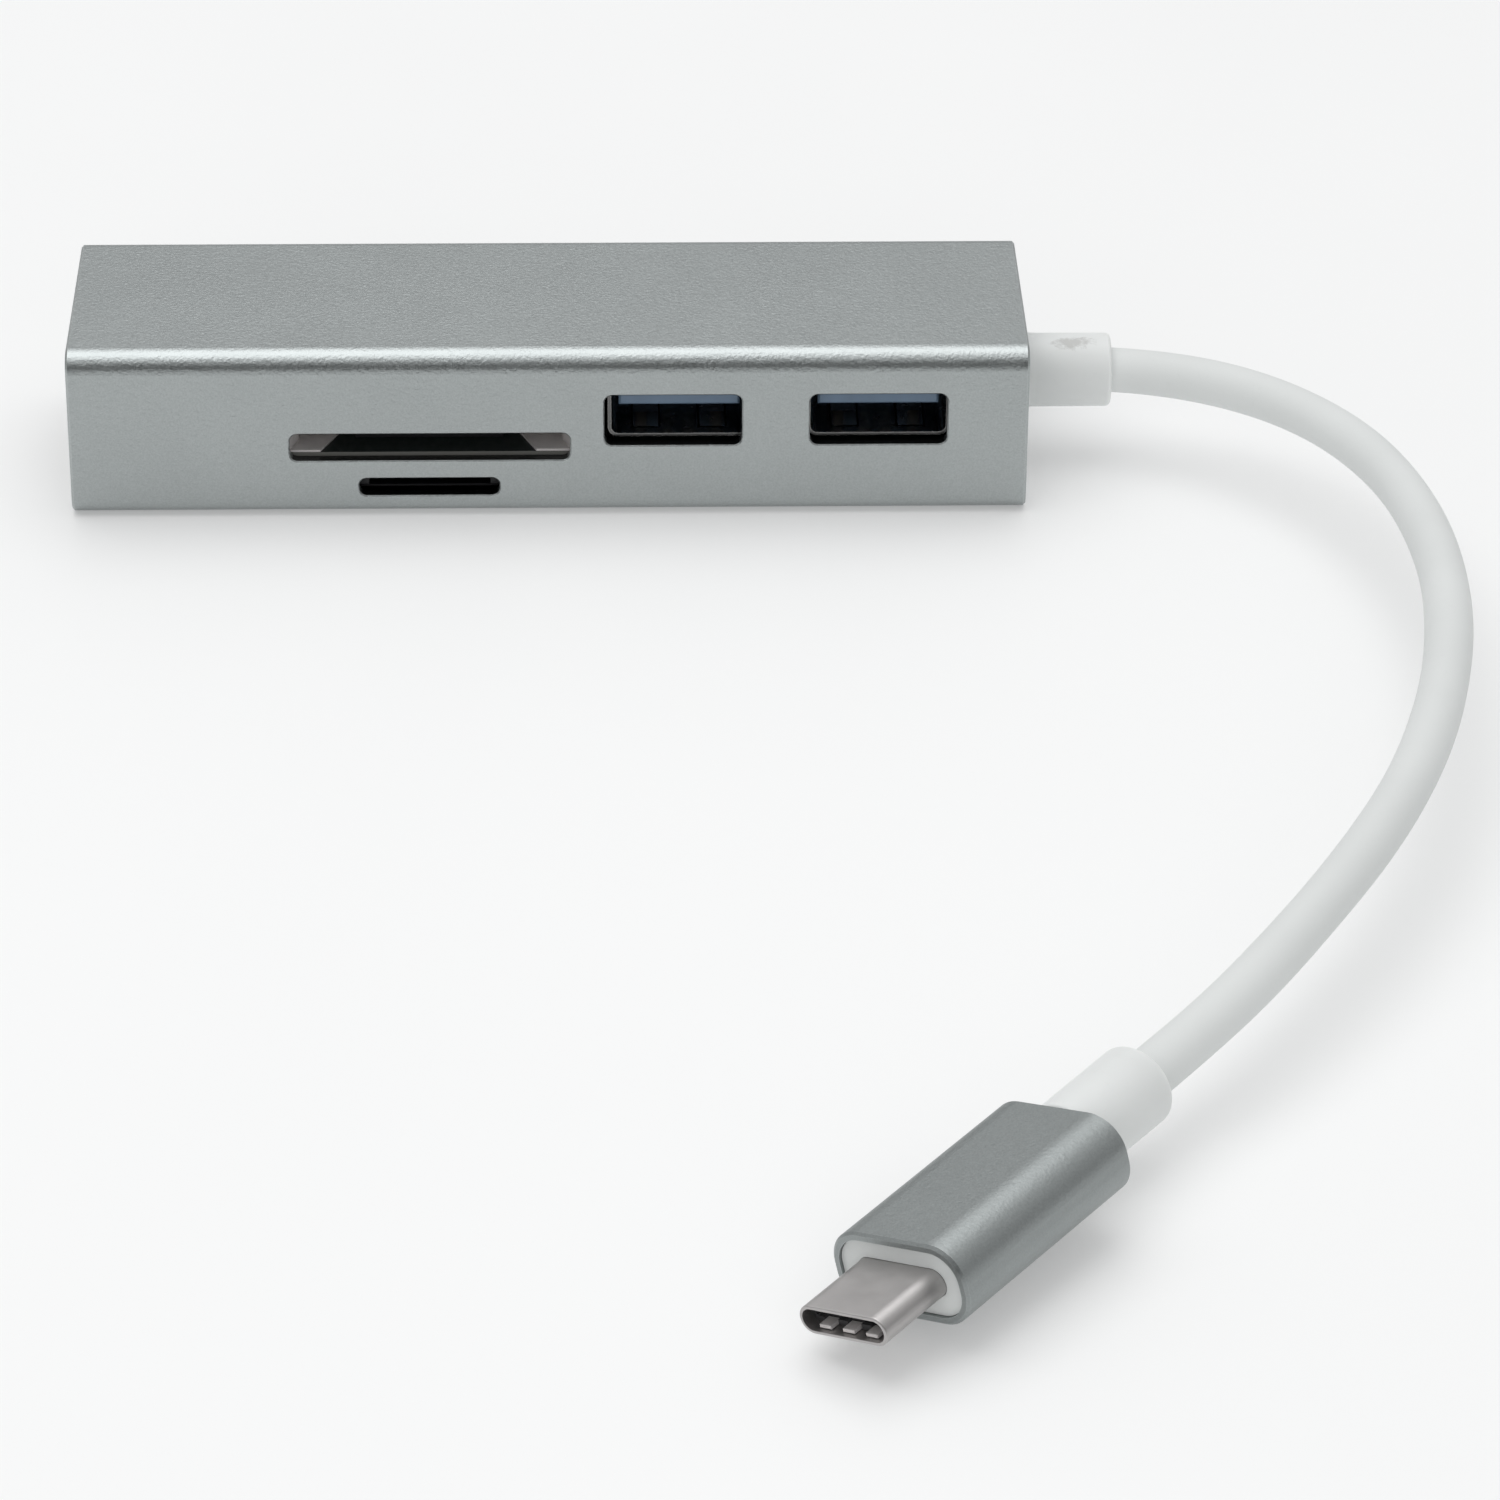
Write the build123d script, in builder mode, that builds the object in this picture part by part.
from build123d import *
import os
from math import cos, sin, radians

# Five-port hub for a notebook: an extruded aluminium case with two USB-A sockets,
# an SD slot and a microSD slot on its long front, a network jack in its left end,
# and a captive white cable that ends in a USB-C plug.
#
# Frame: millimetres, +Z up. The origin is the middle of the case's footprint on
# the table. +X runs along the case towards the cable, -Y is the side with the ports.

os.makedirs("parts", exist_ok=True)

SIDES = (-1, 1)

# ---------------------------------------------------------------- driving sizes
CASE_LENGTH = 88.0
CASE_DEPTH = 25.5                    # front to back
CASE_HEIGHT = 16.4
CASE_WALL = 1.1
CASE_R_OUT = 1.9                     # long outside edges
CASE_R_IN = 0.8                      # long inside edges
RAIL_Y = CASE_DEPTH / 2 - CASE_WALL - 0.2   # board rails on the back wall

CAP_THICK = 1.5                      # end caps, set inside the extrusion
CAP_GAP = 0.03
CAP_INSET = 0.1                      # outer face behind the end of the extrusion
CAP_DEPTH = CASE_DEPTH - 2 * CASE_WALL - 2 * CAP_GAP
CAP_HEIGHT = CASE_HEIGHT - 2 * CASE_WALL - 2 * CAP_GAP
CAP_RADIUS = CASE_R_IN - CAP_GAP

BOARD_BOT, BOARD_TOP = 4.4, 6.0
BOARD_X0, BOARD_X1 = -42.0, 39.6
BOARD_FRONT, BOARD_BACK = -11.5, 11.25
BOARD_GAP = 0.02                     # between the board and what sits on it

USB_X = (11.95, 30.24)               # receptacle centres
USB_Z = 10.36                        # middle of the receptacle opening
USB_IN_W, USB_IN_H = 12.5, 5.12      # opening for the plug
USB_SHEET = 0.3
USB_MOUTH, USB_BACK = -11.55, 2.2
USB_LEG_Y = (-8.0, -1.0)
TONGUE_Z0, TONGUE_Z1 = 10.44, 12.28
USB_SPRING_X = (-3.5, -1.0, 1.0, 3.5)        # contacts, from the receptacle's centre
USB_FLAT_X = (-4.0, -2.0, 0.0, 2.0, 4.0)
USB_FLAT_Y = -10.0
USB_FLAT_W, USB_FLAT_D = 0.74, 1.2

SD_X = -10.95
SD_HALF = 12.15                      # middle to the inner face of a side wall
SD_IN0, SD_IN1 = SD_X - SD_HALF, SD_X + SD_HALF
SD_BACK = 9.6
SD_PITCH = 2.5

MICROSD_X, MICROSD_Y = -11.05, -4.1  # middle of the socket
MICROSD_W, MICROSD_D = 13.6, 14.4
MICROSD_PITCH = 1.1

# windows in the front wall: centre x, centre z, width, height, corner radius
WINDOWS = (
    (11.38, 9.68, 12.65, 5.12, 0.8),
    (30.24, 9.68, 12.65, 5.12, 0.8),
    (SD_X, 7.05, 25.75, 2.74, 0.75),
    (MICROSD_X, 2.98, 12.95, 1.77, 0.75),
)

JACK_W = 15.8                        # network jack over its shield
JACK_Z0, JACK_Z1 = 2.0, 14.4
JACK_X0, JACK_X1 = -43.8, -28.0
JACK_H = JACK_Z1 - JACK_Z0
JACK_MID_Z = (JACK_Z0 + JACK_Z1) / 2
JACK_SHEET = 0.25
JACK_PITCH = 1.02
# stepped port opening with its latch notch: centre z, width, height
JACK_PORT = ((6.4, 11.9, 6.8), (10.5, 6.3, 1.6), (11.7, 3.4, 1.0))
LAMP_Y, LAMP_Z = 5.6, 12.2
LAMP_W, LAMP_H = 2.6, 1.8            # openings for the lamps

BOOT_R = 3.45                        # moulded strain reliefs
NECK_R = 2.9                         # boot's neck through the end cap
TAIL_R = 2.4                         # boot's tail, gripped by the crimp
CABLE_R = 2.1
CABLE_Z = 8.4                        # where the cable leaves the case
CABLE_AXIS = Axis((0, 0, CABLE_Z), (1, 0, 0))
BALL_R = 2.16                        # ball at the start of each cable segment
BALL_GAP = 0.05                      # running gap between two cable segments
SOCKET_R = BALL_R + BALL_GAP
RIM_BACK = 0.9                       # how far a segment's socket stops short

# joint centres along the cable, with the cable's heading there (degrees from +X)
CABLE = [
    ((51.600, 0.000, CABLE_Z), -7.0),
    ((62.556, -4.009, 8.718), -32.9),
    ((70.863, -12.229, 8.986), -55.8),
    ((75.772, -22.870, 9.257), -73.6),
    ((77.893, -34.425, 9.585), -84.7),
    ((78.162, -46.179, 9.899), -92.4),
    ((76.988, -57.880, 10.094), -99.0),
    ((74.515, -69.377, 10.082), -105.3),
    ((70.754, -80.519, 9.827), -112.1),
    ((65.705, -91.139, 9.309), -118.5),
    ((59.665, -101.233, 8.507), -123.1),
    ((52.882, -110.844, 7.410), -127.6),
    ((45.183, -119.743, 6.028), -134.8),
]

# plug: middle of the sleeve's front rim, direction of the nose, width direction
PLUG_AT = (26.1, -143.1, 4.5)
PLUG_NOSE = (-0.63189506, -0.77340092, -0.05059294)
PLUG_WIDE = (0.74190761, -0.62246667, 0.24921548)
PLUG_PLANE = Plane(origin=PLUG_AT, x_dir=PLUG_WIDE, z_dir=PLUG_NOSE)
PLUG_AXIS = Axis(PLUG_AT, PLUG_NOSE)
SLEEVE_L, SLEEVE_W, SLEEVE_T, SLEEVE_R = 20.9, 12.6, 6.8, 3.0
SLEEVE_WALL = 0.65
FILL_W = SLEEVE_W - 2 * SLEEVE_WALL - 0.06   # section of what fills the sleeve
FILL_T = SLEEVE_T - 2 * SLEEVE_WALL - 0.06
FILL_R = SLEEVE_R - SLEEVE_WALL - 0.03
SHELL_W, SHELL_T, SHELL_SHEET = 8.25, 2.40, 0.28
SHELL_IN = 7.0                       # how far the shell reaches into the sleeve
SHELL_OUT = 7.0                      # how far the shell stands out of the sleeve
PLUG_BOOT_L = 10.2
PLUG_BORE_R = 1.6                    # passage for the wires
USB_C_PITCH = 0.5
GROUND_SPRING_X = (-2.2, 0.0, 2.2)


# ---------------------------------------------------------------- shared helpers
def save(part, label):
    part.label = label
    export_step(part, f"parts/{label}.step")


def row(count, pitch):
    """Evenly spaced places centred on zero."""
    return [(i - (count - 1) / 2) * pitch for i in range(count)]


def along_x(x):
    """Place on the cable's exit line, for a cylinder lying along X."""
    return Location((x, 0, CABLE_Z), (0, 90, 0))


def usb_leg_spots(centre_x):
    """Where the four legs of a USB-A shell pass through the board."""
    reach = (USB_IN_W + USB_SHEET) / 2
    return [(centre_x + side * reach, y) for side in SIDES for y in USB_LEG_Y]


def strip_contacts(plane, centres, width, profile, bead_at, bead_radius):
    """Row of bent contact strips, each with a round bead at one end."""
    with BuildPart() as contacts:
        for centre in centres:
            with BuildSketch(plane.offset(centre - width / 2)):
                with BuildLine():
                    Polyline(*profile, close=True)
                make_face()
                with Locations(bead_at):
                    Circle(bead_radius)
            extrude(amount=width)
    return contacts.part


# ---------------------------------------------------------------- case
def case_sleeve():
    with BuildPart() as sleeve:
        with BuildSketch(Plane.YZ.offset(-CASE_LENGTH / 2)):
            with Locations((0, CASE_HEIGHT / 2)):
                RectangleRounded(CASE_DEPTH, CASE_HEIGHT, CASE_R_OUT)
                RectangleRounded(CASE_DEPTH - 2 * CASE_WALL, CASE_HEIGHT - 2 * CASE_WALL,
                                 CASE_R_IN, mode=Mode.SUBTRACT)
        extrude(amount=CASE_LENGTH)
        # board rails along the back wall
        with Locations((0, RAIL_Y, BOARD_BOT - 0.45), (0, RAIL_Y, BOARD_TOP + 0.45)):
            Box(80.0, 0.5, 0.7)
        with BuildSketch(Plane.XZ.offset(CASE_DEPTH / 2 + 0.5)):
            for x, z, width, height, radius in WINDOWS:
                with Locations((x, z)):
                    RectangleRounded(width, height, radius)
        extrude(amount=-(CASE_WALL + 0.8), mode=Mode.SUBTRACT)
        # broken edges around the windows and both ends
        front = sleeve.faces().filter_by(Axis.Y).sort_by(Axis.Y)[0]
        chamfer(front.inner_wires().edges(), 0.12)
        ends = sleeve.faces().filter_by(Axis.X).sort_by(Axis.X)
        chamfer(ends[0].outer_wire().edges() + ends[-1].outer_wire().edges(), 0.2)
    return sleeve.part


def end_cap_cable():
    inner_x = CASE_LENGTH / 2 - CAP_INSET - CAP_THICK
    with BuildPart() as cap:
        with BuildSketch(Plane.YZ.offset(inner_x)):
            with Locations((0, CASE_HEIGHT / 2)):
                RectangleRounded(CAP_DEPTH, CAP_HEIGHT, CAP_RADIUS)
        extrude(amount=CAP_THICK)
        # skirt inside the extrusion, open towards the board
        with BuildSketch(Plane.YZ.offset(inner_x)):
            with Locations((0, CASE_HEIGHT / 2)):
                RectangleRounded(CAP_DEPTH, CAP_HEIGHT, CAP_RADIUS)
                Rectangle(CAP_DEPTH - 1.8, CAP_HEIGHT - 1.8, mode=Mode.SUBTRACT)
        extrude(amount=-2.2)
        # hole for the boot's neck
        with Locations(along_x(inner_x + CAP_THICK / 2)):
            Cylinder(NECK_R + 0.06, 2 * CAP_THICK, mode=Mode.SUBTRACT)
        # room for the board rails
        with Locations((40.8, RAIL_Y, (BOARD_BOT + BOARD_TOP) / 2)):
            Box(3.2, 0.9, 3.2, mode=Mode.SUBTRACT)
        outer = cap.faces().filter_by(Axis.X).sort_by(Axis.X)[-1]
        chamfer(outer.outer_wire().edges(), 0.15)
    return cap.part


def end_cap_ethernet():
    with BuildPart() as cap:
        with BuildSketch(Plane.YZ.offset(-CASE_LENGTH / 2 + CAP_INSET)):
            with Locations((0, CASE_HEIGHT / 2)):
                RectangleRounded(CAP_DEPTH, CAP_HEIGHT, CAP_RADIUS)
                Rectangle(JACK_W + 0.1, JACK_H + 0.1, mode=Mode.SUBTRACT)
        extrude(amount=CAP_THICK)
        outer = cap.faces().filter_by(Axis.X).sort_by(Axis.X)[0]
        chamfer(outer.outer_wire().edges(), 0.15)
    return cap.part


# ---------------------------------------------------------------- main board
def main_board():
    notch_x0, notch_x1 = BOARD_X0 - 1.0, JACK_X1 + 0.2
    with BuildPart() as board:
        with BuildSketch(Plane.XY.offset(BOARD_BOT)):
            with BuildLine():
                Polyline((BOARD_X0, BOARD_FRONT), (BOARD_X1, BOARD_FRONT),
                         (BOARD_X1, BOARD_BACK), (BOARD_X0, BOARD_BACK), close=True)
            make_face()
            # notch around the network jack, with an ear left on each side
            with Locations(((notch_x0 + notch_x1) / 2, 0)):
                Rectangle(notch_x1 - notch_x0, JACK_W + 0.3, mode=Mode.SUBTRACT)
            # slots for the receptacles' legs
            for centre_x in USB_X:
                with Locations(*usb_leg_spots(centre_x)):
                    Rectangle(0.8, 2.0, mode=Mode.SUBTRACT)
            # a small hole in each ear
            with Locations((-35.0, 9.6), (-35.0, -9.6)):
                Circle(0.5, mode=Mode.SUBTRACT)
        extrude(amount=BOARD_TOP - BOARD_BOT)
    return board.part


# ---------------------------------------------------------------- USB-A receptacles
# leaf spring profiles: y, height from the inner face of the floor or roof
FLOOR_SPRING = ((-3.7, -0.3), (-3.7, -0.05), (-8.1, 0.5),
                (-10.1, -0.02), (-10.1, -0.24), (-8.1, 0.26))
ROOF_SPRING = ((-3.7, 0.3), (-3.7, 0.05), (-8.1, -0.3),
               (-10.1, 0.12), (-10.1, 0.32), (-8.1, -0.1))
# contact strip profile: y, z
USB_STRIP = ((-2.5, 10.62), (-6.8, 9.92), (-8.4, 10.42),
             (-8.4, 10.62), (-6.8, 10.12), (-2.5, 10.82))


def usb_a_shell(centre_x):
    floor_z, roof_z = USB_Z - USB_IN_H / 2, USB_Z + USB_IN_H / 2
    spring_x = 3.05                  # from the middle of the shell
    floor_spring_w, roof_spring_w = 2.3, 2.0
    leg_top, leg_bottom = floor_z + 1.0, BOARD_BOT - 0.7
    with BuildPart() as shell:
        with BuildSketch(Plane.XZ.offset(-USB_MOUTH)):
            with Locations((centre_x, USB_Z)):
                RectangleRounded(USB_IN_W + 2 * USB_SHEET, USB_IN_H + 2 * USB_SHEET, 1.0)
                RectangleRounded(USB_IN_W, USB_IN_H, 0.7, mode=Mode.SUBTRACT)
        extrude(amount=-(USB_BACK - USB_MOUTH))
        # two windows in the floor and two in the roof, each with a leaf spring
        with Locations(*[(centre_x + side * spring_x, -7.1, z) for side in SIDES
                         for z in (floor_z - USB_SHEET / 2, roof_z + USB_SHEET / 2)]):
            Box(2.7, 6.6, 0.9, mode=Mode.SUBTRACT)
        for side in SIDES:
            middle = centre_x + side * spring_x
            for base_z, width, profile in ((floor_z, floor_spring_w, FLOOR_SPRING),
                                           (roof_z, roof_spring_w, ROOF_SPRING)):
                with BuildSketch(Plane.YZ.offset(middle - width / 2)):
                    with BuildLine():
                        Polyline(*[(y, base_z + rise) for y, rise in profile], close=True)
                    make_face()
                extrude(amount=width)
            # narrowed tips of the floor springs
            for edge in SIDES:
                edge_x = middle + edge * floor_spring_w / 2
                outside, inside = edge_x + edge * 0.2, edge_x - edge * 0.38
                with BuildSketch(Plane.XY.offset(floor_z - 1.0)):
                    with BuildLine():
                        Polyline((outside, -8.3), (edge_x, -8.3), (inside, -8.9),
                                 (inside, -10.3), (outside, -10.3), close=True)
                    make_face()
                extrude(amount=0.98, mode=Mode.SUBTRACT)
        # legs through the board
        with Locations(*[(x, y, (leg_top + leg_bottom) / 2)
                         for x, y in usb_leg_spots(centre_x)]):
            Box(USB_SHEET, 1.5, leg_top - leg_bottom)
    return shell.part


def usb_a_tongue(centre_x):
    block_front, block_back = -1.2, USB_BACK + 0.05
    foot_bottom, foot_top, foot_depth = BOARD_TOP + BOARD_GAP, USB_Z + 2.5, 1.3
    tongue_front, tongue_root, tongue_width = -11.0, -1.0, 11.1
    with BuildPart() as tongue:
        # block that fills the back of the shell
        with BuildSketch(Plane.XZ.offset(-block_front)):
            with Locations((centre_x, USB_Z)):
                RectangleRounded(USB_IN_W - 0.06, USB_IN_H - 0.06, 0.66)
        extrude(amount=-(block_back - block_front))
        # foot behind the shell, standing on the board
        with Locations((centre_x, block_back + foot_depth / 2, (foot_bottom + foot_top) / 2)):
            Box(USB_IN_W - 0.4, foot_depth, foot_top - foot_bottom)
        with Locations((centre_x, (tongue_front + tongue_root) / 2,
                        (TONGUE_Z0 + TONGUE_Z1) / 2)):
            Box(tongue_width, tongue_root - tongue_front, TONGUE_Z1 - TONGUE_Z0)
        chamfer(tongue.faces().sort_by(Axis.Y)[0].edges(), 0.2)
        # grooves for the four spring contacts, on the underside
        with Locations(*[(centre_x + x, -5.5, TONGUE_Z0 + 0.38) for x in USB_SPRING_X]):
            Box(1.1, 7.4, 0.86, mode=Mode.SUBTRACT)
        # seats for the five flat contacts near the front
        with Locations(*[(centre_x + x, USB_FLAT_Y, TONGUE_Z0 + 0.02) for x in USB_FLAT_X]):
            Box(USB_FLAT_W + 0.04, USB_FLAT_D + 0.04, 0.2, mode=Mode.SUBTRACT)
    return tongue.part


def usb_a_flat_contacts(centre_x):
    with BuildPart() as contacts:
        with Locations(*[(centre_x + x, USB_FLAT_Y, TONGUE_Z0 + 0.04) for x in USB_FLAT_X]):
            Box(USB_FLAT_W, USB_FLAT_D, 0.12)
    return contacts.part


def usb_a_spring_contacts(centre_x):
    return strip_contacts(Plane.YZ, [centre_x + x for x in USB_SPRING_X], width=1.0,
                          profile=USB_STRIP, bead_at=(-2.5, 10.72), bead_radius=0.2)


# ---------------------------------------------------------------- SD socket
# outside of a flared side wall: distance out from the wall's inner face, y
SD_WALL = ((0.25, SD_BACK + 0.3), (0.25, -9.4), (1.02, -11.4), (0.77, -11.5))
# contact strip profile: y, z
SD_STRIP = ((1.3, 6.22), (6.0, 6.95), (7.2, 6.6), (7.2, 6.76), (6.0, 7.12), (1.3, 6.40))


def sd_wall_outline(side):
    return [(SD_X + side * (SD_HALF + out), y) for out, y in SD_WALL]


def sd_socket_frame():
    floor_z, sheet = BOARD_TOP + BOARD_GAP, 0.2
    back = SD_BACK + 0.05
    # floor: side and back strips with front tabs, and a wedge-shaped notch between the tabs
    floor_inside = [
        (SD_X - 10.1, -11.5), (SD_X - 7.4, -5.4), (SD_X - 7.4, -4.6), (SD_IN0, -4.6),
        (SD_IN0, back), (SD_IN1, back),
        (SD_IN1, -4.6), (SD_X + 7.1, -4.6), (SD_X + 7.1, -5.4), (SD_X + 9.75, -11.5),
    ]
    # upright sides and back
    wall_inside = [(SD_IN0, -9.5), (SD_IN0, back), (SD_IN1, back), (SD_IN1, -9.5)]
    with BuildPart() as frame:
        for z, height, inside in ((floor_z, sheet, floor_inside),
                                  (floor_z + sheet, 2.46, wall_inside)):
            with BuildSketch(Plane.XY.offset(z)):
                with BuildLine():
                    Polyline(*sd_wall_outline(-1), *inside, *sd_wall_outline(1)[::-1],
                             close=True)
                make_face()
            extrude(amount=height)
    return frame.part


def sd_socket_base():
    left, right = SD_IN0 + 0.05, SD_IN1 - 0.05
    with BuildPart() as base:
        # plastic floor, its front part reaching between the frame's tabs
        with BuildSketch(Plane.XY.offset(BOARD_TOP + BOARD_GAP)):
            with BuildLine():
                Polyline((SD_X - 7.0, -8.6), (SD_X + 6.7, -8.6), (SD_X + 6.7, -4.5),
                         (right, -4.5), (right, SD_BACK), (left, SD_BACK), (left, -4.5),
                         (SD_X - 7.0, -4.5), close=True)
            make_face()
        extrude(amount=0.46)
        # rear wall
        with Locations((SD_X, SD_BACK - 0.6, 7.35)):
            Box(right - left, 1.2, 2.66)
        # slots for the contact springs
        with Locations(*[(SD_X + x, 4.35, 6.3) for x in row(9, SD_PITCH)]):
            Box(0.9, 7.1, 1.4, mode=Mode.SUBTRACT)
    return base.part


def sd_socket_cover():
    front = -11.3
    with BuildPart() as cover:
        with BuildSketch(Plane.XY.offset(8.72)):
            with Locations((SD_X, (SD_BACK + front) / 2)):
                Rectangle(SD_IN1 - SD_IN0 + 0.5, SD_BACK - front)
            with Locations((SD_X - 6, 3), (SD_X + 6, 3)):
                RectangleRounded(5.0, 3.0, 0.5, mode=Mode.SUBTRACT)
        extrude(amount=0.2)
    return cover.part


def sd_contacts():
    return strip_contacts(Plane.YZ, [SD_X + x for x in row(9, SD_PITCH)], width=0.8,
                          profile=SD_STRIP, bead_at=(1.3, 6.31), bead_radius=0.17)


# ---------------------------------------------------------------- microSD socket
# under the board; contact strip profile: y, z
MICROSD_STRIP = ((-3.8, 3.98), (-0.4, 3.32), (0.6, 3.6),
                 (0.6, 3.48), (-0.4, 3.2), (-3.8, 3.82))


def microsd_socket_base():
    rail_w, back_rail_d, rail_h, rail_z = 1.2, 0.8, 0.9, 3.05
    with BuildPart() as base:
        with BuildSketch(Plane.XY.offset(BOARD_BOT - 0.03)):
            with Locations((MICROSD_X, MICROSD_Y)):
                Rectangle(MICROSD_W, MICROSD_D)
        extrude(amount=-0.9)
        # side and back rails down to the cover
        with Locations(*[(MICROSD_X + side * (MICROSD_W - rail_w) / 2, MICROSD_Y, rail_z)
                         for side in SIDES]):
            Box(rail_w, MICROSD_D, rail_h)
        with Locations((MICROSD_X, MICROSD_Y + (MICROSD_D - back_rail_d) / 2, rail_z)):
            Box(MICROSD_W, back_rail_d, rail_h)
        # slots for the contact springs
        with Locations(*[(MICROSD_X + x, -1.6, 3.9) for x in row(8, MICROSD_PITCH)]):
            Box(0.7, 5.6, 1.2, mode=Mode.SUBTRACT)
    return base.part


def microsd_socket_cover():
    bottom, top, sheet = 2.37, 4.35, 0.2
    with BuildPart() as cover:
        with BuildSketch(Plane.XY.offset(bottom)):
            with Locations((MICROSD_X, MICROSD_Y)):
                Rectangle(MICROSD_W + 0.5, MICROSD_D)
            with Locations((MICROSD_X, -1.0)):
                RectangleRounded(4.0, 3.0, 0.5, mode=Mode.SUBTRACT)
        extrude(amount=sheet)
        # upright sides
        with Locations(*[(MICROSD_X + side * (MICROSD_W / 2 + 0.15), MICROSD_Y,
                          (bottom + top) / 2) for side in SIDES]):
            Box(sheet, MICROSD_D, top - bottom)
    return cover.part


def microsd_contacts():
    return strip_contacts(Plane.YZ, [MICROSD_X + x for x in row(8, MICROSD_PITCH)], width=0.6,
                          profile=MICROSD_STRIP, bead_at=(-3.8, 3.9), bead_radius=0.14)


# ---------------------------------------------------------------- network jack
# contact wire profile: x, z
JACK_STRIP = ((-41.5, 2.6), (-34.4, 5.75), (-33.3, 5.6),
              (-33.3, 5.95), (-34.5, 6.1), (-41.6, 2.95))


def ethernet_jack_shield():
    length = JACK_X1 - JACK_X0
    with BuildPart() as shield:
        with Locations(((JACK_X0 + JACK_X1) / 2, 0, JACK_MID_Z)):
            Box(length, JACK_W, JACK_H)
            Box(length - 2 * JACK_SHEET, JACK_W - 2 * JACK_SHEET, JACK_H - 2 * JACK_SHEET,
                mode=Mode.SUBTRACT)
        # port opening, latch notch and two lamp windows in the face
        with BuildSketch(Plane.YZ.offset(JACK_X0 - 0.2)):
            for z, width, height in JACK_PORT:
                with Locations((0, z)):
                    Rectangle(width, height)
            with Locations((-LAMP_Y, LAMP_Z), (LAMP_Y, LAMP_Z)):
                Rectangle(LAMP_W, LAMP_H)
        extrude(amount=0.6, mode=Mode.SUBTRACT)
        # opening low in the inner end
        with Locations((JACK_X1, 0, 4.5)):
            Box(1.0, 12.0, 4.2, mode=Mode.SUBTRACT)
        # solder tabs on the board's ears
        with Locations(*[(-34.0, side * (JACK_W / 2 + 0.7), BOARD_TOP + 0.15)
                         for side in SIDES]):
            Box(1.6, 1.42, 0.25)
    return shield.part


def ethernet_jack_body():
    inset = JACK_SHEET + 0.03
    face_x, inner_x = JACK_X0 + inset, JACK_X1 - inset
    with BuildPart() as body:
        with Locations(((face_x + inner_x) / 2, 0, JACK_MID_Z)):
            Box(inner_x - face_x, JACK_W - 2 * inset, JACK_H - 2 * inset)
        with BuildSketch(Plane.YZ.offset(face_x - 0.2)):
            for z, width, height in JACK_PORT:
                with Locations((0, z)):
                    Rectangle(width, height)
        extrude(amount=12.2, mode=Mode.SUBTRACT)
        # grooves for the eight contact wires
        with Locations(*[(-37.3, y, 2.85) for y in row(8, JACK_PITCH)]):
            Box(9.6, 0.56, 0.8, mode=Mode.SUBTRACT)
        # pockets for the lamps
        with Locations(*[(face_x + 2.0, side * LAMP_Y, LAMP_Z) for side in SIDES]):
            Box(4.4, LAMP_W, LAMP_H, mode=Mode.SUBTRACT)
    return body.part


def ethernet_contacts():
    return strip_contacts(Plane.XZ, row(8, JACK_PITCH), width=0.45,
                          profile=JACK_STRIP, bead_at=(-41.5, 2.8), bead_radius=0.2)


def ethernet_lamp(y):
    with BuildPart() as lamp:
        with Locations((JACK_X0 + 2.25, y, LAMP_Z)):
            Box(4.1, LAMP_W - 0.06, LAMP_H - 0.06)
        chamfer(lamp.faces().sort_by(Axis.X)[0].edges(), 0.15)
    return lamp.part


# ---------------------------------------------------------------- parts on the board
# chips: name, x, y, side length, thickness, whether it hangs under the board
CHIPS = (
    ("hub_controller_chip", 21.0, 4.7, 7.0, 0.85, True),
    ("ethernet_controller_chip", -21.8, 7.2, 6.0, 0.85, True),
    ("card_reader_chip", 3.0, 3.0, 5.0, 0.85, True),
    ("voltage_regulator", 30.5, 7.8, 3.0, 1.1, False),
)
# small parts: x, y
CAPACITORS_BELOW = (
    (14.0, 0.0), (14.0, 2.2), (14.0, 4.4), (28.0, 0.0), (28.0, 2.2), (28.0, 4.4),
    (8.5, 6.0), (4.0, 8.0), (-15.0, 8.5), (-22.0, 2.4), (32.0, -3.0), (32.0, -5.0),
)
CAPACITORS_ABOVE = ((33.6, 6.2), (33.6, 9.4), (36.0, 9.4))
RESISTORS = (
    (14.0, -2.4), (14.0, -4.0), (28.0, -2.4), (28.0, -4.0), (8.5, -4.0), (8.5, -6.0),
    (-1.0, 7.0), (-1.0, 9.0), (-24.5, 0.5), (35.0, 2.0), (35.0, 4.0),
)


def magnetics_module():
    middle_x, middle_y, height = 11.0, 7.5, 4.8
    with BuildPart() as module:
        with Locations((middle_x, middle_y, BOARD_TOP + 0.15 + height / 2)):
            Box(12.7, 5.6, height)
        chamfer(module.faces().sort_by(Axis.Z)[-1].edges(), 0.3)
        # legs along both long sides
        with Locations(*[(middle_x + x, middle_y + side * 3.2, BOARD_TOP + 0.5)
                         for x in row(8, 1.27) for side in SIDES]):
            Box(0.4, 0.9, 0.9)
    return module.part


def flat_chip(x, y, size, thickness, below):
    """Low square chip with a bevelled outer face and a pin-one dimple."""
    away = -1 if below else 1        # from the board to the chip's outer face
    surface = BOARD_BOT if below else BOARD_TOP
    z = surface + away * (BOARD_GAP + thickness / 2)
    dimple_in = size / 2 - 0.9
    with BuildPart() as chip:
        with Locations((x, y, z)):
            Box(size, size, thickness)
        outer = chip.faces().sort_by(Axis.Z)[0 if below else -1]
        chamfer(outer.edges(), 0.1)
        with Locations((x - dimple_in, y - dimple_in, z + away * thickness / 2)):
            Cylinder(0.25, 0.1, mode=Mode.SUBTRACT)
    return chip.part


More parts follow.
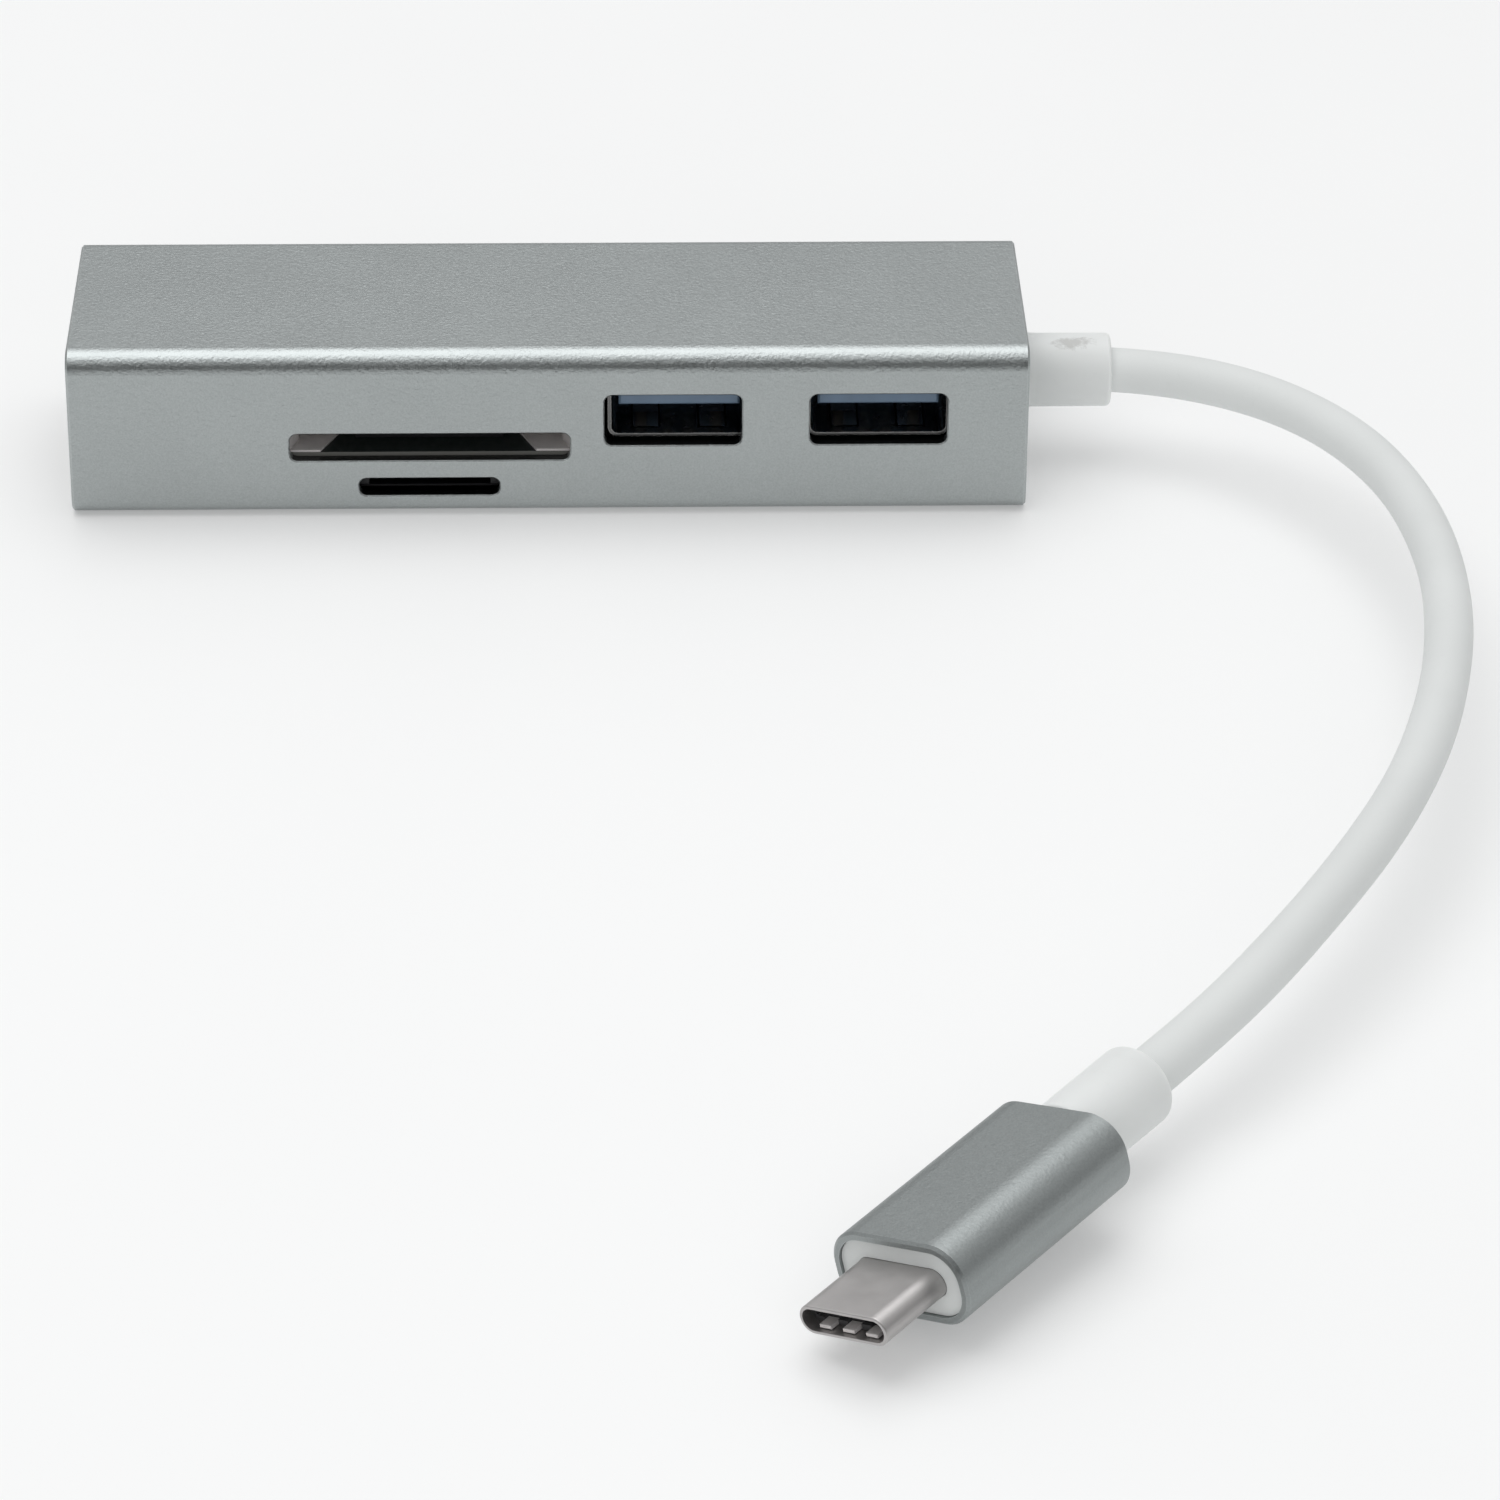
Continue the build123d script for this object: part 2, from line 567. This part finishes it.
def crystals():
    height = 0.8
    z = BOARD_BOT - BOARD_GAP - height / 2
    with BuildPart() as cans:
        with Locations((28.0, 8.6, z), (-12.0, 7.6, z)):
            Box(3.2, 2.5, height)
        fillet(cans.edges().filter_by(Axis.Z), 0.3)
    return cans.part


def power_inductor():
    x, y, height = 25.2, 8.0, 2.0
    bottom = BOARD_TOP + BOARD_GAP
    with BuildPart() as inductor:
        with Locations((x, y, bottom + height / 2)):
            Box(4.0, 4.0, height)
        fillet(inductor.edges().filter_by(Axis.Z), 0.6)
        # round recess in the top
        with Locations((x, y, bottom + height)):
            Cylinder(1.4, 0.3, mode=Mode.SUBTRACT)
    return inductor.part


def ceramic_capacitors():
    with BuildPart() as capacitors:
        with Locations(*[(x, y, BOARD_BOT - 0.32) for x, y in CAPACITORS_BELOW]):
            Box(1.0, 0.5, 0.5)
        with Locations(*[(x, y, BOARD_TOP + 0.42) for x, y in CAPACITORS_ABOVE]):
            Box(1.0, 1.6, 0.8)
    return capacitors.part


def resistors():
    with BuildPart() as chips:
        with Locations(*[(x, y, BOARD_BOT - 0.22) for x, y in RESISTORS]):
            Box(1.0, 0.5, 0.35)
    return chips.part


# ---------------------------------------------------------------- cable at the case end
def cable_boot_hub():
    joint = CABLE[0][0]
    root_x, mouth_x = CASE_LENGTH / 2 - 0.05, 52.5
    foot_top, boot_top = CABLE_Z + 3.75, CABLE_Z + BOOT_R
    hollow_x, hollow_end = joint[0] - 0.05, mouth_x + 0.1
    with BuildPart() as boot:
        # outside: a short sleeve with a small foot; the first joint sits inside its mouth
        with BuildSketch(Plane.XZ):
            with BuildLine():
                Polyline((root_x, CABLE_Z), (root_x, foot_top), (44.35, foot_top),
                         (44.9, boot_top), (mouth_x - 0.25, boot_top),
                         (mouth_x, boot_top - 0.25), (mouth_x, CABLE_Z), close=True)
            make_face()
        revolve(axis=CABLE_AXIS)
        # neck through the cap, flange behind it, and the tail that the crimp grips
        for x, radius, length in ((43.25, NECK_R, 2.0), (41.8, 4.0, 1.1), (40.6, TAIL_R, 1.6)):
            with Locations(along_x(x)):
                Cylinder(radius, length)
        # hollow for the cable's end: a ball seat and a flared mouth
        with Locations(joint):
            Sphere(SOCKET_R, mode=Mode.SUBTRACT)
        with BuildSketch(Plane.XZ):
            with BuildLine():
                Polyline((hollow_x, CABLE_Z), (hollow_x, CABLE_Z + 2.15),
                         (hollow_end, CABLE_Z + 2.95), (hollow_end, CABLE_Z), close=True)
            make_face()
        revolve(axis=CABLE_AXIS, mode=Mode.SUBTRACT)
    return boot.part


def cable_crimp():
    with BuildPart() as crimp:
        with BuildSketch(Plane.YZ.offset(39.95)):
            with Locations((0, CABLE_Z)):
                Circle(3.0)
                Circle(TAIL_R + 0.03, mode=Mode.SUBTRACT)
        extrude(amount=1.2)
    return crimp.part


def cable_wires():
    """Five wires that fan out from the boot's tail down to the board."""
    with BuildPart() as wires:
        for y in row(5, 0.8):
            start = (39.75, y, CABLE_Z)
            with BuildLine() as path:
                Spline(start, (37.9, 1.5 * y, BOARD_TOP + 0.55),
                       tangents=((-1, 0, 0), (0, 0, -1)))
            with BuildSketch(Plane(origin=start, z_dir=(-1, 0, 0))):
                Circle(0.32)
            sweep(path=path.line)
    return wires.part


# ---------------------------------------------------------------- cable
def bend_point(index, fraction):
    """Point, direction and arc length of a cable length, an arc between two joint centres.

    The point and the direction are taken at the given fraction of the arc.
    """
    (here, heading), (there, next_heading) = CABLE[index], CABLE[index + 1]
    turn = radians(heading - next_heading)
    start, chord = Vector(*here), Vector(*there) - Vector(*here)
    along = chord.normalized()
    left = Vector(0, 0, 1).cross(along).normalized()
    radius = chord.length / (2 * sin(turn / 2))
    reach = 2 * radius * sin(turn * fraction / 2)
    lean = turn / 2 - turn * fraction / 2
    point = start + along * (reach * cos(lean)) + left * (reach * sin(lean))
    slope = turn / 2 - turn * fraction
    return point, along * cos(slope) + left * sin(slope), radius * turn


def cable_segment(index):
    """One length, with a ball at its joint centre and a socket for the next ball."""
    start, start_dir, length = bend_point(index, 0.0)
    _, end_dir, _ = bend_point(index, 1.0)
    trimmed = 1 - RIM_BACK / length
    middle, _, _ = bend_point(index, 0.5 * trimmed)
    stop, _, _ = bend_point(index, trimmed)
    start_side = Vector(start_dir.Y, -start_dir.X, 0)
    end_side = Vector(end_dir.Y, -end_dir.X, 0)
    with BuildPart() as segment:
        with BuildLine() as run:
            ThreePointArc(start, middle, stop)
        with BuildSketch(Plane(origin=start, x_dir=start_side, z_dir=start_dir)):
            Circle(CABLE_R)
        sweep(path=run.line)
        # ball and socket, turned so that their seams keep clear of the sweep's
        with Locations(Plane(origin=start, x_dir=start_dir.cross(start_side),
                             z_dir=start_dir)):
            Sphere(BALL_R)
        with Locations(Plane(origin=CABLE[index + 1][0], x_dir=end_dir.cross(end_side),
                             z_dir=end_dir)):
            Sphere(SOCKET_R, mode=Mode.SUBTRACT)
    return segment.part


# ---------------------------------------------------------------- plug
# Offsets from PLUG_PLANE are positive towards the nose.
def plug_sleeve():
    with BuildPart() as sleeve:
        with BuildSketch(PLUG_PLANE.offset(-SLEEVE_L)):
            RectangleRounded(SLEEVE_W, SLEEVE_T, SLEEVE_R)
            RectangleRounded(SLEEVE_W - 2 * SLEEVE_WALL, SLEEVE_T - 2 * SLEEVE_WALL,
                             SLEEVE_R - SLEEVE_WALL, mode=Mode.SUBTRACT)
        extrude(amount=SLEEVE_L)
        rims = sleeve.faces().sort_by(PLUG_AXIS)
        chamfer(rims[0].outer_wire().edges() + rims[-1].outer_wire().edges(), 0.22)
    return sleeve.part


def plug_insert():
    with BuildPart() as insert:
        with BuildSketch(PLUG_PLANE.offset(-18.9)):
            RectangleRounded(FILL_W, FILL_T, FILL_R)
        extrude(amount=18.6)
        # seat of the shell, room for the little board, passage for the wires
        with BuildSketch(PLUG_PLANE):
            RectangleRounded(SHELL_W + 0.06, SHELL_T + 0.06, SHELL_T / 2)
        extrude(amount=-(SHELL_IN + 0.05), mode=Mode.SUBTRACT)
        with BuildSketch(PLUG_PLANE.offset(-SHELL_IN)):
            Rectangle(9.4, 3.2)
        extrude(amount=-10.4, mode=Mode.SUBTRACT)
        with BuildSketch(PLUG_PLANE.offset(-17.3)):
            Circle(PLUG_BORE_R)
        extrude(amount=-2.0, mode=Mode.SUBTRACT)
    return insert.part


def usb_c_shell():
    radius = SHELL_T / 2 - 0.02
    with BuildPart() as shell:
        with BuildSketch(PLUG_PLANE.offset(-SHELL_IN)):
            RectangleRounded(SHELL_W, SHELL_T, radius)
            RectangleRounded(SHELL_W - 2 * SHELL_SHEET, SHELL_T - 2 * SHELL_SHEET,
                             radius - SHELL_SHEET, mode=Mode.SUBTRACT)
        extrude(amount=SHELL_IN + SHELL_OUT)
        tip = shell.faces().sort_by(PLUG_AXIS)[-1]
        fillet(tip.outer_wire().edges(), 0.12)
    return shell.part


def usb_c_insulator():
    width = SHELL_W - 2 * SHELL_SHEET - 0.06
    thickness = SHELL_T - 2 * SHELL_SHEET - 0.06
    recess = 1.25                    # nose behind the shell's mouth
    back, slot_floor = -6.2, 0.4
    with BuildPart() as insulator:
        with BuildSketch(PLUG_PLANE.offset(back)):
            RectangleRounded(width, thickness, thickness / 2 - 0.02)
        extrude(amount=SHELL_OUT - recess - back)
        # slot that takes the receptacle's tongue
        with BuildSketch(PLUG_PLANE.offset(slot_floor)):
            Rectangle(6.7, 0.84)
        extrude(amount=SHELL_OUT, mode=Mode.SUBTRACT)
        # grooves for the contacts above and below
        with BuildSketch(PLUG_PLANE.offset(slot_floor)):
            with Locations(*[(x, side * 0.54) for x in row(12, USB_C_PITCH) for side in SIDES]):
                Rectangle(0.3, 0.4)
        extrude(amount=4.6, mode=Mode.SUBTRACT)
        # notches for the ground springs and for the side latches
        with BuildSketch(PLUG_PLANE.offset(SHELL_OUT - 1.75)):
            with Locations(*[(x, side * 0.66) for x in GROUND_SPRING_X for side in SIDES]):
                Rectangle(1.3, 0.56)
        extrude(amount=1.6, mode=Mode.SUBTRACT)
        with BuildSketch(PLUG_PLANE.offset(slot_floor)):
            with Locations((-3.36, 0), (3.36, 0)):
                Rectangle(0.5, 0.6)
        extrude(amount=SHELL_OUT, mode=Mode.SUBTRACT)
    return insulator.part


def usb_c_contacts(side):
    with BuildPart() as contacts:
        with BuildSketch(PLUG_PLANE.offset(0.5)):
            with Locations(*[(x, side * 0.56) for x in row(12, USB_C_PITCH)]):
                Rectangle(0.24, 0.2)
        extrude(amount=4.3)
    return contacts.part


def usb_c_ground_springs():
    with BuildPart() as springs:
        with BuildSketch(PLUG_PLANE.offset(SHELL_OUT - 1.65)):
            with Locations(*[(x, side * 0.70) for x in GROUND_SPRING_X for side in SIDES]):
                Rectangle(1.1, 0.3)
        extrude(amount=1.25)
        tips = springs.faces().filter_by(PLUG_PLANE).group_by(PLUG_AXIS)[-1]
        chamfer(tips.edges(), 0.08)
    return springs.part


def usb_c_latches():
    with BuildPart() as latches:
        with BuildSketch(PLUG_PLANE.offset(0.5)):
            with Locations((-3.42, 0), (3.42, 0)):
                Rectangle(0.24, 0.5)
        extrude(amount=4.9)
    return latches.part


def usb_c_board():
    """Little board inside the plug, with one block on its upper face."""
    with BuildPart() as board:
        with BuildSketch(PLUG_PLANE.offset(-7.2)):
            Rectangle(8.6, 0.8)
        extrude(amount=-9.6)
        with BuildSketch(PLUG_PLANE.offset(-9.2)):
            with Locations((1.6, 0.75)):
                Rectangle(2.4, 0.7)
        extrude(amount=-2.4)
    return board.part


def cable_boot_plug():
    boot_end = -SLEEVE_L - PLUG_BOOT_L
    with BuildPart() as boot:
        # moulded end inside the sleeve, then the round strain relief
        with BuildSketch(PLUG_PLANE.offset(-20.6)):
            RectangleRounded(FILL_W, FILL_T, FILL_R)
        extrude(amount=1.6)
        with BuildSketch(PLUG_PLANE.offset(-20.5)):
            Circle(2.5)
        extrude(amount=-0.5)
        with BuildSketch(PLUG_PLANE.offset(-SLEEVE_L - 0.05)):
            Circle(BOOT_R)
        extrude(amount=-(PLUG_BOOT_L - 0.05))
        chamfer(boot.faces().sort_by(PLUG_AXIS)[0].edges(), 0.25)
        # flared mouth around the last joint
        with BuildSketch(PLUG_PLANE.offset(boot_end - 0.1)):
            Circle(2.95)
        with BuildSketch(PLUG_PLANE.offset(boot_end + 0.95)):
            Circle(2.15)
        loft(mode=Mode.SUBTRACT)
        with Locations(CABLE[-1][0]):
            Sphere(SOCKET_R, mode=Mode.SUBTRACT)
        # bore for the wires
        with BuildSketch(PLUG_PLANE.offset(-18.0)):
            Circle(PLUG_BORE_R)
        extrude(amount=-7.0, mode=Mode.SUBTRACT)
    return boot.part


# ---------------------------------------------------------------- build and save
# pieces that occur once, saved under their function's name
for piece in (
    case_sleeve, end_cap_cable, end_cap_ethernet, main_board,
    sd_socket_frame, sd_socket_base, sd_socket_cover, sd_contacts,
    microsd_socket_base, microsd_socket_cover, microsd_contacts,
    ethernet_jack_shield, ethernet_jack_body, ethernet_contacts,
    magnetics_module, crystals, power_inductor, ceramic_capacitors, resistors,
    cable_boot_hub, cable_crimp, cable_wires,
    plug_sleeve, plug_insert, usb_c_shell, usb_c_insulator,
    usb_c_ground_springs, usb_c_latches, usb_c_board, cable_boot_plug,
):
    save(piece(), piece.__name__)

for number, usb_x in enumerate(USB_X, start=1):
    for piece in (usb_a_shell, usb_a_tongue, usb_a_flat_contacts, usb_a_spring_contacts):
        save(piece(usb_x), f"{piece.__name__}_{number}")

save(ethernet_lamp(LAMP_Y), "ethernet_lamp_left")
save(ethernet_lamp(-LAMP_Y), "ethernet_lamp_right")

for chip_name, *chip_sizes in CHIPS:
    save(flat_chip(*chip_sizes), chip_name)

for i in range(len(CABLE) - 1):
    save(cable_segment(i), f"cable_segment_{i + 1:02d}")

save(usb_c_contacts(1), "usb_c_contacts_upper")
save(usb_c_contacts(-1), "usb_c_contacts_lower")
